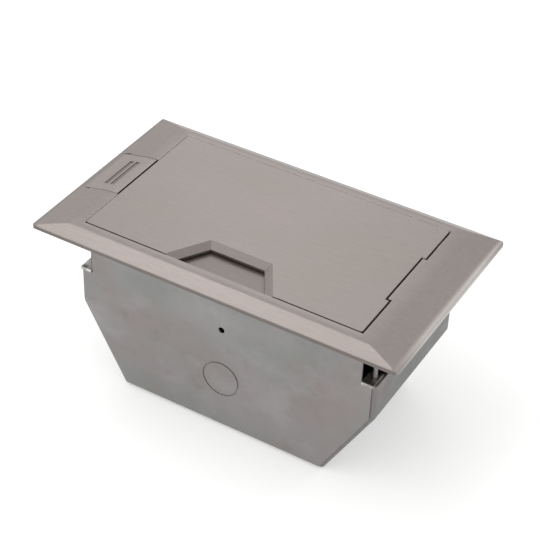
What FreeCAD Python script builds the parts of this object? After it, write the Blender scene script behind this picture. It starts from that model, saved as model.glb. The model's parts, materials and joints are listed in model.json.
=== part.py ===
import FreeCAD, Part
import math
import os
import Sketcher

# Floor socket box: a folded steel tray let into the floor, and a cast frame on top of it that carries
# a hinged lid, its sliding latch, a cable flap and the socket cradle.
# Millimetres. X runs along the box towards the lid hinge, -Y is the side where the cables leave, +Z is up.
# The origin is the middle of the tray's underside.

SIZES = [
    # tray
    ("trayLength", 200), ("trayWidth", 100), ("trayDepth", 112), ("kneeHeight", 54),
    ("trayFloorLength", 140),
    ("sheetGauge", 1.2), ("foldRadius", 2.4), ("flangeWidth", 12), ("wallDrop", 5), ("shoulderHeight", 79),
    ("tongueWidth", 56), ("cornerNotch", 9), ("cableCutWidth", 76), ("cableCutHeight", 96),
    ("knockoutDiameter", 25), ("knockoutHeight", 38), ("knockoutGroove", 1), ("knockoutWeb", 0.5),
    ("endKnockoutHeight", 27), ("wallHoleDiameter", 4), ("wallHoleHeight", 75.5),
    ("floorHoleSpacingX", 100), ("floorHoleSpacingY", 60), ("floorHoleDiameter", 5),
    # lugs and levelling studs
    ("lugPlay", 0.3), ("lugReach", 13), ("lugGauge", 1.8), ("lugRadius", 1.4), ("lugLegHeight", 13),
    ("lugOverhang", 0.8),
    ("studDiameter", 3), ("studInsetX", 4.5), ("studInsetY", 7.6), ("studLength", 40), ("studSeat", 3.5),
    ("nutAcross", 5.5), ("nutHeight", 2.4),
    # frame
    ("frameLength", 240), ("frameWidth", 137), ("rimHeight", 2), ("frameHeight", 7.2), ("frameCorner", 3),
    ("flatLip", 4), ("endBevelRadius", 60), ("sideBevelRadius", 8), ("rimRadius", 1.2),
    ("sideLedge", 5), ("latchLedge", 4), ("ledgeBack", 3), ("seatWidth", 5),
    ("catchNotchWidth", 23), ("flapNotchWidth", 74),
    # lid
    ("lidLength", 182), ("lidWidth", 108.6), ("lidGauge", 2), ("lidCorner", 1.5), ("lidEdge", 0.5),
    ("tightGap", 0.4), ("hingeGap", 1), ("frontGap", 0.8), ("hingeTongueDepth", 2.5),
    ("hingeTongueWidth", 45),
    ("sealGauge", 1), ("sealWidth", 3), ("sealSetback", 1),
    ("outletBase", 71), ("outletTop", 41), ("outletDepth", 25), ("outletSlope", 4.5), ("outletDrop", 3),
    ("bandGauge", 1.2), ("skinSet", 0.1), ("mouthRunOut", 4),
    ("pivotInset", 7), ("pivotDrop", 3.3), ("pinDiameter", 2.4), ("pinSeat", 3.6), ("pinFit", 0.05),
    ("pinProud", 0.8),
    ("earGauge", 1.6), ("earGap", 1.2), ("earRadius", 2.2), ("earCorner", 2), ("wingGap", 0.5),
    ("bracketFoot", 18), ("bracketWidth", 7),
    ("ribInset", 18), ("ribFrontY", 12), ("ribBackY", 30), ("ribWidth", 8), ("ribHeight", 5),
    ("ribGauge", 1),
    # cable flap
    ("flapDrop", 5.5), ("flapGauge", 1.4), ("flapLap", 1.5), ("flapPivotY", 29.5), ("flapPivotDrop", 5.2),
    ("flapPinDiameter", 2), ("knuckleRadius", 1.7), ("knuckleGap", 4), ("knuckleLength", 8),
    ("flapEarGauge", 1.2),
    ("flapEarHalf", 14), ("flapEarFront", 0.5), ("flapEarBack", 3.4), ("flapBridgeFront", 2.4),
    ("flapBridgeBack", 6.8),
    # latch
    ("latchWidth", 42), ("latchReach", 22.5), ("latchGap", 1), ("slotFloor", 2.6), ("latchPlay", 0.1),
    ("latchSideGap", 0.4), ("tongueReach", 1), ("tongueHeight", 1), ("tongueInset", 2), ("gripLength", 28),
    ("gripWidth", 2.7), ("gripDepth", 0.8), ("gripPitch", 4.2),
    ("gripInset", 9), ("boltWidth", 16), ("boltGauge", 1.8), ("boltReach", 4.4), ("boltRoot", 2.6),
    ("catchGauge", 1.5), ("catchWidth", 20), ("catchSetback", 1.6), ("catchSill", 1.4), ("catchFoot", 10),
    ("springY", 17), ("springRadius", 1), ("springWire", 0.35), ("springLength", 7), ("springTurns", 6),
    ("springSides", 10), ("springPlay", 0.3),
    ("springInset", 4), ("springPostRadius", 0.9),
    # collar and cradle
    ("collarDepth", 20), ("collarWidth", 94), ("collarFlange", 12), ("collarLeft", 91),
    ("collarRight", 93.7), ("collarScrewX", 61), ("collarScrewOut", 8.4),
    ("cheekTop", 100), ("cheekGauge", 1.2), ("cheekSpread", 74), ("cheekShoulder", 90),
    ("cheekLowSpread", 46),
    ("cheekFoot", 33), ("cheekCutWidth", 74), ("cheekCutHeight", 56),
    ("plateTopX", 63), ("plateTopZ", 95), ("plateFootX", 38), ("plateFootZ", 37), ("plateGauge", 1.5),
    ("plateTab", 8),
    # sockets
    ("moduleSize", 44.4), ("modulePitch", 22.3), ("moduleCut", 41), ("moduleFace", 3), ("moduleBody", 18),
    ("moduleWall", 1.6), ("moduleFit", 0.2), ("moduleCorner", 1.8), ("clipInset", 0.6),
    ("recessDiameter", 38.4), ("recessDepth", 14), ("pinHoleDiameter", 5),
    ("pinHoleSpacing", 19), ("clipWidth", 4), ("clipGauge", 0.8), ("clipHeight", 9),
    ("jackWidth", 12), ("jackHeight", 9), ("jackDepth", 13), ("jackSpacing", 20), ("shellGauge", 0.8),
    ("terminalDiameter", 4), ("terminalHeight", 3), ("terminalSpacing", 10),
    # fasteners
    ("screwDiameter", 3), ("screwHeadDiameter", 5.6), ("screwHeadHeight", 1.8), ("screwFit", 0.05),
    ("rivetHead", 1), ("rivetEdge", 1.2),
    ("earthStudDiameter", 5), ("earthStudLength", 14), ("earthX", 46),
    ("washerDiameter", 10), ("washerGauge", 1), ("earthNutAcross", 8), ("earthNutHeight", 4),
]


class Size:
    """A length that keeps the sheet expression it comes from beside its value."""

    def __init__(self, value, text):
        self.value = float(value)
        self.text = text

    def __add__(self, other):
        return Size(self.value + valueOf(other), "(%s + %s)" % (self.text, textOf(other)))

    def __sub__(self, other):
        return Size(self.value - valueOf(other), "(%s - %s)" % (self.text, textOf(other)))

    def __mul__(self, other):
        return Size(self.value * valueOf(other), "(%s * %s)" % (self.text, textOf(other)))

    def __truediv__(self, other):
        return Size(self.value / valueOf(other), "(%s / %s)" % (self.text, textOf(other)))

    def __radd__(self, other):
        return self + other

    def __rsub__(self, other):
        return -self + other

    def __rmul__(self, other):
        return self * other

    def __neg__(self):
        return Size(-self.value, "(0 - %s)" % self.text)


def valueOf(size):
    return size.value if isinstance(size, Size) else float(size)


def textOf(size):
    return size.text if isinstance(size, Size) else "(%r)" % float(size)


def asSize(number):
    return number if isinstance(number, Size) else Size(number, textOf(number))


def root(size):
    return Size(math.sqrt(size.value), "sqrt(%s)" % size.text)


doc = FreeCAD.newDocument("FloorSocketBox")
sheet = doc.addObject("Spreadsheet::Sheet", "Sizes")
size = {}
for row, (alias, value) in enumerate(SIZES, 1):
    sheet.set("A%d" % row, alias)
    sheet.set("B%d" % row, str(value))
    sheet.setAlias("B%d" % row, alias)
    size[alias] = Size(value, "Sizes." + alias)
doc.recompute()

nodes = []


# ---- small builders -------------------------------------------------------------------------------

def bind(thing, name, length):
    thing.setExpression(name, textOf(length))


def place(thing, x, y, z, turn=None):
    """Puts a thing at a point held by the sheet, turned if need be."""
    thing.Placement = FreeCAD.Placement(FreeCAD.Vector(), turn or FreeCAD.Rotation())
    for axis, length in zip("xyz", (x, y, z)):
        bind(thing, "Placement.Base." + axis, length)
    return thing


def box(name, xSpan, ySpan, zSpan):
    """A block between two values on each axis."""
    block = doc.addObject("Part::Box", name)
    for side, span in zip(("Length", "Width", "Height"), (xSpan, ySpan, zSpan)):
        bind(block, side, asSize(span[1]) - span[0])
    return place(block, xSpan[0], ySpan[0], zSpan[0])


def rod(name, radius, x, y, z, length, along="Z"):
    turns = {"X": FreeCAD.Rotation(FreeCAD.Vector(0, 1, 0), 90),
             "Y": FreeCAD.Rotation(FreeCAD.Vector(1, 0, 0), -90),
             "Z": FreeCAD.Rotation()}
    cylinder = doc.addObject("Part::Cylinder", name)
    bind(cylinder, "Radius", radius)
    bind(cylinder, "Height", length)
    return place(cylinder, x, y, z, turns[along])


def hexagon(name, across, x, y, z, length):
    """A six-sided bar with two of its flats facing along X."""
    bar = doc.addObject("Part::Prism", name)
    bar.Polygon = 6
    bind(bar, "Circumradius", across / math.sqrt(3))
    bind(bar, "Height", length)
    return place(bar, x, y, z, FreeCAD.Rotation(FreeCAD.Vector(0, 0, 1), 30))


def fuse(name, *shapes):
    joined = doc.addObject("Part::MultiFuse", name)
    joined.Shapes = list(shapes)
    joined.Refine = True
    return joined


def common(name, *shapes):
    shared = doc.addObject("Part::MultiCommon", name)
    shared.Shapes = list(shapes)
    return shared


def cut(name, base, *tools):
    removed = doc.addObject("Part::Cut", name)
    removed.Base = base
    removed.Tool = tools[0] if len(tools) == 1 else fuse(name + "_tools", *tools)
    return removed


def group(name, *shapes):
    """Separate solids of one kind, kept together in one node."""
    together = doc.addObject("Part::Compound", name)
    together.Links = list(shapes)
    return together


def node(name, thing):
    thing.Label = name
    nodes.append(thing)
    return thing


def originPlane(body, role):
    return next(plane for plane in body.Origin.OriginFeatures if plane.Role == role)


def polygonSketch(body, role, points, offset=0):
    """A closed outline whose corners are all held by the sheet."""
    sketch = body.newObject("Sketcher::SketchObject", body.Name + "_sketch")
    sketch.AttachmentSupport = (originPlane(body, role), [""])
    sketch.MapMode = "FlatFace"
    bind(sketch, "AttachmentOffset.Base.z", offset)
    spots = [FreeCAD.Vector(valueOf(u), valueOf(v), 0) for u, v in points]
    count = len(spots)
    for i in range(count):
        sketch.addGeometry(Part.LineSegment(spots[i], spots[(i + 1) % count]), False)
    for i in range(count):
        sketch.addConstraint(Sketcher.Constraint("Coincident", i, 2, (i + 1) % count, 1))
    for i, (u, v) in enumerate(points):
        for kind, length in (("DistanceX", u), ("DistanceY", v)):
            at = sketch.addConstraint(Sketcher.Constraint(kind, -1, 1, i, 1, valueOf(length)))
            name = "%s%d" % (kind, i)
            sketch.renameConstraint(at, name)
            bind(sketch, "Constraints." + name, length)
    return sketch


def prism(name, role, points, length, offset=0, symmetric=True, reverse=False):
    """A body padded from one outline on an origin plane."""
    body = doc.addObject("PartDesign::Body", name)
    pad = body.newObject("PartDesign::Pad", name + "_pad")
    pad.Profile = polygonSketch(body, role, points, offset)
    bind(pad, "Length", length)
    pad.SideType = "Symmetric" if symmetric else "One side"
    pad.Reversed = reverse
    body.Tip = pad
    return body


def roundEdges(body, radius, wanted):
    """Fillets those edges of the body's tip that `wanted` picks by their end points."""
    doc.recompute()
    tip = body.Tip
    names = []
    for i, edge in enumerate(tip.Shape.Edges, 1):
        ends = [vertex.Point for vertex in edge.Vertexes]
        if len(ends) == 2 and wanted(ends[0], ends[1]):
            names.append("Edge%d" % i)
    if not names:
        raise ValueError("no edge to round on " + body.Name)
    fillet = body.newObject("PartDesign::Fillet", body.Name + "_fillet")
    fillet.Base = (tip, names)
    bind(fillet, "Radius", radius)
    body.Tip = fillet
    return body


def along(axis, **at):
    """Picks edges that run along one axis, at the given values of the others."""
    def wanted(a, b):
        gap = b - a
        straight = all(abs(getattr(gap, other)) < 1e-4 for other in "xyz" if other != axis)
        return straight and all(abs(abs(getattr(a, key)) - abs(valueOf(v))) < 1e-3 for key, v in at.items())
    return wanted


def bothSides(width):
    return (-(width / 2), width / 2)


def mirrored(points):
    """Adds the left half of an outline to its right half, which is given from top to bottom."""
    return list(points) + [(-u, v) for u, v in reversed(points)]


# ---- shared levels and places ---------------------------------------------------------------------

gauge = size["sheetGauge"]
halfLength = size["trayLength"] / 2
halfWidth = size["trayWidth"] / 2
halfFloor = size["trayFloorLength"] / 2
knee = size["kneeHeight"]
floorLevel = size["trayDepth"]
topLevel = floorLevel + size["frameHeight"]
rimLevel = floorLevel + size["rimHeight"]
wallTop = floorLevel - size["wallDrop"]
panHalfWidth = halfWidth - gauge
lidUnder = topLevel - size["lidGauge"]
ledgeLevel = lidUnder - size["sealGauge"]
slotLevel = floorLevel + size["slotFloor"]
lidHalfLength = size["lidLength"] / 2
lidHalfWidth = size["lidWidth"] / 2
openLeft = -(lidHalfLength + size["tightGap"])
openRight = lidHalfLength + size["hingeGap"]
openFront = -(lidHalfWidth + size["frontGap"])
openBack = lidHalfWidth + size["tightGap"]
flatHalfLength = openRight + size["flatLip"]
flatHalfWidth = lidHalfWidth + size["frontGap"] + size["flatLip"]
studX = halfLength - size["studInsetX"]
studY = halfWidth - size["studInsetY"]
slantRun = halfLength - halfFloor
slantLength = root(slantRun * slantRun + knee * knee)
pivotX = lidHalfLength - size["pivotInset"]
pivotZ = topLevel - size["pivotDrop"]
flapPivotZ = topLevel - size["flapPivotDrop"]
ledgeEnd = pivotX - size["ledgeBack"]
flangeTop = floorLevel + gauge
flangeHalfWidth = size["collarWidth"] / 2 + size["collarFlange"]
over = 1.0  # how far a cutting tool runs past what it cuts
lap = 0.1  # how far one cut runs into the next


def trayOutline(inset, top):
    """The tray's side view, drawn in by `inset` on the ends, slants and floor."""
    steep = knee / slantLength
    flat = slantRun / slantLength
    kneeLevel = knee + inset * (-(steep - 1)) / flat
    foot = halfFloor - inset * (-(flat - 1)) / steep
    return mirrored([(halfLength - inset, top), (halfLength - inset, kneeLevel), (foot, inset)])


# ---- tray -----------------------------------------------------------------------------------------

def foldedBlock(name, inset, top, radius):
    """The tray as a solid block with every fold rounded, drawn in by `inset`."""
    body = prism(name, "XZ_Plane", trayOutline(inset, top), (panHalfWidth - inset) * 2)

    def crossFold(a, b):
        return abs(a.x - b.x) < 1e-4 and abs(a.z - b.z) < 1e-4 and a.z < valueOf(top) - 1e-3

    roundEdges(body, radius, crossFold)
    faceY = valueOf(panHalfWidth - inset)

    def rimFold(a, b):
        onFace = abs(abs(a.y) - faceY) < 1e-4 and abs(a.y - b.y) < 1e-4
        return onFace and min(a.z, b.z) < valueOf(top) - 1e-3

    return roundEdges(body, radius, rimFold)


def makePan():
    """Ends, slants and floor folded from one strip, with flanges turned in along both edges."""
    outside = foldedBlock("pan", 0, wallTop, size["foldRadius"])
    inside = foldedBlock("pan_inside", gauge, wallTop + over, size["foldRadius"] - gauge)
    body = cut("pan_sheet", outside, inside)
    window = prism("pan_window", "XZ_Plane", trayOutline(size["flangeWidth"], wallTop + over),
                   size["trayWidth"] + over)
    shoulderSpan = (size["shoulderHeight"], wallTop + over)
    sides = []
    for side, sign in (("front", -1), ("back", 1)):
        near = size["tongueWidth"] / 2
        span = (near, halfWidth + over) if sign > 0 else (-(halfWidth + over), -near)
        sides.append(box("pan_shoulder_" + side, bothSides(size["trayLength"] + over), span, shoulderSpan))
    holes = []
    for i, (sx, sy) in enumerate(((-1, -1), (1, -1), (-1, 1), (1, 1))):
        holes.append(rod("pan_floor_hole%d" % i, size["floorHoleDiameter"] / 2,
                         size["floorHoleSpacingX"] * (sx / 2), size["floorHoleSpacingY"] * (sy / 2),
                         -size["sheetGauge"], gauge * 4))
    earthHole = rod("pan_earth_hole", size["earthStudDiameter"] / 2 + size["screwFit"], -size["earthX"],
                    0, -size["sheetGauge"], gauge * 4)
    grooves = [endKnockout(sign) for sign in (-1, 1)]
    return node("tray_shell", cut("tray_shell_cut", body, window, *sides, *holes, earthHole, *grooves))


def knockoutRing(name):
    """A ring that thins the sheet round a disc; it lies on the XY plane and reaches down from z = 0."""
    outer = size["knockoutDiameter"] / 2
    depth = gauge - size["knockoutWeb"]
    ring = cut(name, rod(name + "_disc", outer, 0, 0, -depth, depth + over),
               rod(name + "_core", outer - size["knockoutGroove"], 0, 0,
                   -depth - over, depth + over * 3))
    return ring


def endKnockout(sign):
    """A knock-out in the middle of a slanted end."""
    share = size["endKnockoutHeight"].value / knee.value
    ring = knockoutRing("end_knockout_%s" % ("left" if sign < 0 else "right"))
    lean = math.degrees(math.atan2(knee.value, slantRun.value))
    turn = FreeCAD.Rotation(FreeCAD.Vector(0, 1, 0), sign * (180 - lean))
    ring.Placement = FreeCAD.Placement(
        FreeCAD.Vector(sign * (halfFloor.value + slantRun.value * share), 0,
                       size["endKnockoutHeight"].value), turn)
    return ring


def makeWall(name, sign, cableCut):
    """A flat plate spot-welded over the pan's flanges, notched at its corners for the lugs."""
    middle = halfWidth - gauge / 2
    body = prism(name + "_plate", "XZ_Plane", trayOutline(size["foldRadius"], wallTop), gauge,
                 offset=middle * -sign)
    tools = []
    for side in (-1, 1):
        outer, inner = halfLength + over, halfLength - size["cornerNotch"]
        span = (inner, outer) if side > 0 else (-outer, -inner)
        tools.append(box("%s_notch%d" % (name, side + 1), span, bothSides(size["trayWidth"] + over * 2),
                         (size["shoulderHeight"], wallTop + over)))
    if cableCut:
        tools.append(box(name + "_cable_cut", bothSides(size["cableCutWidth"]),
                         bothSides(size["trayWidth"] + over * 2), (size["cableCutHeight"], wallTop + over)))
    ring = knockoutRing(name + "_knockout")
    ring.Placement = FreeCAD.Placement(FreeCAD.Vector(0, sign * halfWidth.value,
                                                      size["knockoutHeight"].value),
                                       FreeCAD.Rotation(FreeCAD.Vector(1, 0, 0), -90 * sign))
    tools.append(ring)
    tools.append(rod(name + "_hole", size["wallHoleDiameter"] / 2, 0, -halfWidth - over,
                     size["wallHoleHeight"], size["trayWidth"] + over * 2, "Y"))
    return node(name, cut(name + "_cut", body, *tools))


makePan()
makeWall("front_wall", -1, True)
makeWall("back_wall", 1, False)


# ---- lugs, studs and fixings on the tray ----------------------------------------------------------

def cornersOf(x, y):
    return [(x * sx, y * sy, sx, sy) for sx in (-1, 1) for sy in (-1, 1)]


def span(sign, near, far):
    """The stretch from near to far on the positive side, or its mirror image."""
    return (near, far) if sign > 0 else (-far, -near)


def makeLugs():
    """A bright angle in each corner: its top rests in the wall's notch,
    its leg lies on the pan's flange."""
    lugs = []
    outer = halfLength - gauge
    inner = halfLength - size["cornerNotch"] + size["lugPlay"]
    under = size["shoulderHeight"]
    for i, (x, y, sx, sy) in enumerate(cornersOf(studX, studY)):
        front = halfWidth + size["lugOverhang"]
        top = prism("lug_top%d" % i, "YZ_Plane",
                    [(front * sy, under), (front * sy, under + size["lugGauge"]),
                     ((front - size["lugReach"]) * sy, under + size["lugGauge"]),
                     ((front - size["lugReach"]) * sy, under)],
                    outer - inner, offset=inner * sx, symmetric=False, reverse=sx < 0)
        roundEdges(top, size["lugRadius"], along("x", y=front, z=under + size["lugGauge"]))
        flangeFace = panHalfWidth - gauge
        leg = box("lug_leg%d" % i, span(sx, inner, outer - size["foldRadius"]),
                  span(sy, flangeFace - size["lugGauge"], flangeFace),
                  (under - size["lugLegHeight"], under))
        hole = rod("lug_hole%d" % i, size["studDiameter"] / 2 + size["screwFit"], x, y, under - over,
                   size["lugGauge"] + over * 2)
        lugs.append(cut("lug%d" % i, fuse("lug_solid%d" % i, top, leg), hole))
    node("corner_lugs", group("corner_lugs_set", *lugs))


def makeStuds():
    """Studs set in the frame's underside; a nut below each lug draws the frame down."""
    studs, nuts = [], []
    for i, (x, y, sx, sy) in enumerate(cornersOf(studX, studY)):
        high = floorLevel + size["studSeat"]
        low = high - size["studLength"]
        stem = rod("stud_stem%d" % i, size["studDiameter"] / 2, x, y, low, size["studLength"])
        studs.append(stem)
        level = size["shoulderHeight"] - size["nutHeight"]
        blank = hexagon("stud_nut%d" % i, size["nutAcross"], x, y, level, size["nutHeight"])
        bore = rod("stud_nut_bore%d" % i, size["studDiameter"] / 2 + size["screwFit"], x, y, level - over,
                   size["nutHeight"] + over * 2)
        nuts.append(cut("stud_nut_cut%d" % i, blank, bore))
    node("levelling_studs", group("levelling_studs_set", *studs))
    node("levelling_nuts", group("levelling_nuts_set", *nuts))


def makeEarthStud():
    """An earth screw through the tray floor with a washer and a nut on it."""
    x = -size["earthX"]
    y = 0
    radius = size["earthStudDiameter"] / 2
    stem = rod("earth_stem", radius, x, y, 0, size["earthStudLength"])
    washerBlank = rod("earth_washer_blank", size["washerDiameter"] / 2, x, y, gauge, size["washerGauge"])
    washerBore = rod("earth_washer_bore", radius + size["screwFit"], x, y, gauge - over,
                     size["washerGauge"] + over * 2)
    nutLevel = gauge + size["washerGauge"]
    nutBlank = hexagon("earth_nut_blank", size["earthNutAcross"], x, y, nutLevel, size["earthNutHeight"])
    nutBore = rod("earth_nut_bore", radius + size["screwFit"], x, y, nutLevel - over,
                  size["earthNutHeight"] + over * 2)
    node("earth_stud", stem)
    node("earth_washer", cut("earth_washer_cut", washerBlank, washerBore))
    node("earth_nut", cut("earth_nut_cut", nutBlank, nutBore))


# ---- frame ----------------------------------------------------------------------------------------

def bevelledBlank(name, low, high):
    """The frame's outer form: two bevelled sections crossing, so that the bevels mitre at the corners."""
    halfL, halfW = size["frameLength"] / 2, size["frameWidth"] / 2
    ends = prism(name + "_ends", "XZ_Plane",
                 mirrored([(flatHalfLength, topLevel), (halfL, rimLevel), (halfL, low)]),
                 size["frameWidth"])
    roundEdges(ends, size["endBevelRadius"], along("y", x=flatHalfLength, z=topLevel))
    roundEdges(ends, size["rimRadius"], along("y", x=halfL, z=rimLevel))
    sides = prism(name + "_sides", "YZ_Plane",
                  mirrored([(flatHalfWidth, topLevel), (halfW, rimLevel), (halfW, low)]),
                  size["frameLength"])
    roundEdges(sides, size["sideBevelRadius"], along("x", y=flatHalfWidth, z=topLevel))
    roundEdges(sides, size["rimRadius"], along("x", y=halfW, z=rimLevel))
    outline = prism(name + "_outline", "XY_Plane",
                    [(-halfL, -halfW), (halfL, -halfW), (halfL, halfW), (-halfL, halfW)],
                    high - low, offset=low, symmetric=False)
    roundEdges(outline, size["frameCorner"], along("z", x=halfL, y=halfW))
    return common(name, ends, sides, outline)


def openingOutline(left, right, front, back, tongueReach, tongueHalf):
    """A rectangle whose right side is set in over its middle by the hinge tongue."""
    step = right - tongueReach
    return [(left, front), (right, front), (right, -tongueHalf), (step, -tongueHalf),
            (step, tongueHalf), (right, tongueHalf), (right, back), (left, back)]


def makeFrame():
    blank = bevelledBlank("frame_blank", floorLevel, topLevel)
    tongueHalf = size["hingeTongueWidth"] / 2 - size["hingeGap"]
    upper = prism("frame_opening", "XY_Plane",
                  openingOutline(openLeft, openRight, openFront, openBack, size["hingeTongueDepth"],
                                 tongueHalf),
                  size["frameHeight"], offset=ledgeLevel, symmetric=False)
    innerFront = openFront + size["sideLedge"]
    innerBack = openBack - size["sideLedge"]
    through = (floorLevel - over, ledgeLevel + over)
    middle = box("frame_well", (openLeft + size["latchLedge"], ledgeEnd), (innerFront, innerBack), through)
    tail = prism("frame_tail_well", "XY_Plane",
                 openingOutline(ledgeEnd - over, openRight, openFront, openBack,
                                size["hingeTongueDepth"], tongueHalf),
                 size["frameHeight"], offset=floorLevel - over, symmetric=False)
    flapNotch = box("frame_flap_notch", bothSides(size["flapNotchWidth"]), (openFront, innerFront + over),
                    through)
    catchNotch = box("frame_catch_notch", (openLeft, openLeft + size["latchLedge"] + over),
                     bothSides(size["catchNotchWidth"]), through)
    slotHalf = size["latchWidth"] / 2 + size["latchSideGap"]
    slot = box("frame_latch_slot", (-size["frameLength"] / 2 - over, openLeft + lap), (-slotHalf, slotHalf),
               (slotLevel, topLevel + over))
    grooveHalf = slotHalf + size["tongueReach"] - size["latchPlay"]
    groove = box("frame_tongue_groove", (openLeft - size["latchReach"] - size["hingeGap"], openLeft + lap),
                 (-grooveHalf, grooveHalf), (slotLevel,
                                             slotLevel + size["tongueHeight"] + size["latchPlay"] * 2))
    wells = []
    for sign in (-1, 1):
        wellHalf = size["springRadius"] + size["springPlay"]
        y = size["springY"] * sign
        reach = size["springInset"] + size["springLength"] + size["springPostRadius"] * 2
        left = openLeft - size["latchGap"] - reach
        wells.append(box("frame_spring_well%d" % (sign + 1), (left, openLeft + lap),
                         (y - wellHalf, y + wellHalf),
                         (slotLevel - size["springRadius"] / 2, slotLevel + over)))
    seatEnd = size["frameLength"] / 2 - size["seatWidth"]
    rebate = box("frame_rebate", (-seatEnd, seatEnd), bothSides((flangeHalfWidth + size["lugPlay"]) * 2),
                 (floorLevel - over, flangeTop))
    bores = []
    for i, (x, y, sx, sy) in enumerate(cornersOf(studX, studY)):
        bores.append(rod("frame_stud_bore%d" % i, size["studDiameter"] / 2 + size["screwFit"], x, y,
                         floorLevel - over, size["studSeat"] + over))
    for i, (x, y) in enumerate(collarScrewSpots()):
        bores.append(rod("frame_screw_bore%d" % i, size["screwDiameter"] / 2 + size["screwFit"], x, y,
                         floorLevel - over, size["studSeat"] + over))
    boreSeat = size["pinSeat"] + size["tightGap"]
    pivots = rod("frame_pivot_bore", size["pinDiameter"] / 2 + size["pinFit"], pivotX, openFront - boreSeat,
                 pivotZ, openBack - openFront + boreSeat * 2, "Y")
    node("frame", cut("frame_cut", blank, upper, middle, tail, flapNotch, catchNotch, slot, groove, *wells,
                      rebate,
                      *bores, pivots))


def collarScrewSpots():
    x = size["collarScrewX"]
    y = size["collarWidth"] / 2 + size["collarScrewOut"]
    return [(x * sx, y * sy) for sx in (-1, 1) for sy in (-1, 1)]


def makeSeal():
    """Strips of soft seal on the ledge under the lid, left open at the catch and at the cable flap."""
    levels = (ledgeLevel, lidUnder)
    wide = size["sealWidth"]
    front = openFront + over
    back = openBack - over
    left = openLeft + size["sealSetback"]
    strips = [box("seal_back", (left, ledgeEnd - over), (back - wide, back), levels)]
    notch = size["flapNotchWidth"] / 2 + over
    strips.append(box("seal_front_left", (left, -notch), (front, front + wide), levels))
    strips.append(box("seal_front_right", (notch, ledgeEnd - over), (front, front + wide), levels))
    for sign in (-1, 1):
        ySpan = (front + wide, -(size["catchNotchWidth"] / 2 + over)) if sign < 0 else (
            size["catchNotchWidth"] / 2 + over, back - wide)
        strips.append(box("seal_left%d" % (sign + 1), (left, left + wide), ySpan, levels))
    node("lid_seal", group("lid_seal_set", *strips))


# ---- collar and cradle ----------------------------------------------------------------------------

def makeCollar():
    """A folded skirt that dips into the tray, with a flange screwed into the frame's rebate."""
    left, right = -size["collarLeft"], size["collarRight"]
    half = size["collarWidth"] / 2
    low = floorLevel - size["collarDepth"]
    outer = box("collar_outer", (left, right), (-half, half), (low, flangeTop))
    flange = box("collar_flange", (left, ledgeEnd), bothSides(flangeHalfWidth * 2), (floorLevel, flangeTop))
    inner = box("collar_inner", (left + gauge, right - gauge), (-half + gauge, half - gauge),
                (low - over, flangeTop + over))
    tailSpan = (ledgeEnd, right - gauge)
    reach = root(size["pivotInset"] * size["pivotInset"] + size["pivotDrop"] * size["pivotDrop"]) + over
    tail = box("collar_tail_relief", tailSpan, bothSides(size["trayWidth"]),
               (pivotZ - reach, flangeTop + over))
    cable = box("collar_cable_cut", bothSides(size["flapNotchWidth"]), (-half - over, -half + gauge + over),
                (low + gauge * 2, flangeTop + over))
    swing = box("collar_flap_swing", bothSides(size["flapNotchWidth"]), (openFront, -half + over),
                (floorLevel - over, flangeTop + over))
    latch = box("collar_catch_cut", (left - over, left + gauge + over), bothSides(size["catchNotchWidth"]),
                (floorLevel - size["collarDepth"] / 3, flangeTop + over))
    holes = [rod("collar_screw_hole%d" % i, size["screwDiameter"] / 2 + size["screwFit"], x, y,
                 floorLevel - over,
                 gauge + over * 2) for i, (x, y) in enumerate(collarScrewSpots())]
    node("collar", cut("collar_cut", fuse("collar_solid", outer, flange), inner, tail, cable, swing, latch,
                       *holes))
    screws = []
    for i, (x, y) in enumerate(collarScrewSpots()):
        head = rod("collar_screw_head%d" % i, size["screwHeadDiameter"] / 2, x, y,
                   floorLevel - size["screwHeadHeight"], size["screwHeadHeight"])
        stem = rod("collar_screw_stem%d" % i, size["screwDiameter"] / 2, x, y, floorLevel, size["studSeat"])
        screws.append(fuse("collar_screw%d" % i, head, stem))
    node("collar_screws", group("collar_screws_set", *screws))


def cheekOutline():
    shoulder, foot = size["cheekSpread"], size["cheekLowSpread"]
    cutHalf, cutLow = size["cheekCutWidth"] / 2, size["cheekCutHeight"]
    top, low = size["cheekTop"], size["cheekFoot"]
    right = [(cutHalf, cutLow), (cutHalf, top), (shoulder, top), (shoulder, size["cheekShoulder"]),
             (foot, low)]
    return mirrored(right)


def makeCheeks():
    """Two side plates hanging from the collar; the socket plates sit between them."""
    for name, sign in (("cradle_front", -1), ("cradle_back", 1)):
        outer = size["collarWidth"] / 2 - gauge
        middle = outer - size["cheekGauge"] / 2
        body = prism(name + "_plate", "XZ_Plane", cheekOutline(), size["cheekGauge"], offset=middle * -sign)
        node(name, body)
    rivets = []
    outer = size["collarWidth"] / 2
    radius = size["screwHeadDiameter"] / 2
    inside = outer - gauge - size["cheekGauge"]
    for i, (x, y, sx, sy) in enumerate(cornersOf(size["cheekSpread"] - radius - size["rivetEdge"], inside)):
        start = y - size["rivetHead"] if sy > 0 else y
        rivets.append(rod("cradle_rivet%d" % i, radius, x, start, size["cheekTop"] - radius,
                          size["rivetHead"], "Y"))
    node("cradle_rivets", group("cradle_rivets_set", *rivets))


def tilted(sign, up, out, y=0.0):
    """Placement on a socket plate: X up the slope, Z out of its face, towards the middle of the box."""
    run = size["plateTopX"].value - size["plateFootX"].value
    rise = size["plateTopZ"].value - size["plateFootZ"].value
    lean = math.degrees(math.atan2(rise, run))
    turn = FreeCAD.Rotation(FreeCAD.Vector(0, 1, 0), -lean)
    if sign < 0:
        turn = FreeCAD.Rotation(FreeCAD.Vector(0, 0, 1), 180).multiply(turn)
    foot = FreeCAD.Vector(sign * size["plateFootX"].value, y, size["plateFootZ"].value)
    return FreeCAD.Placement(foot + turn.multVec(FreeCAD.Vector(up, 0, out)), turn)


def slopeLength():
    run = size["plateTopX"] - size["plateFootX"]
    rise = size["plateTopZ"] - size["plateFootZ"]
    return root(run * run + rise * rise)


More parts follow.
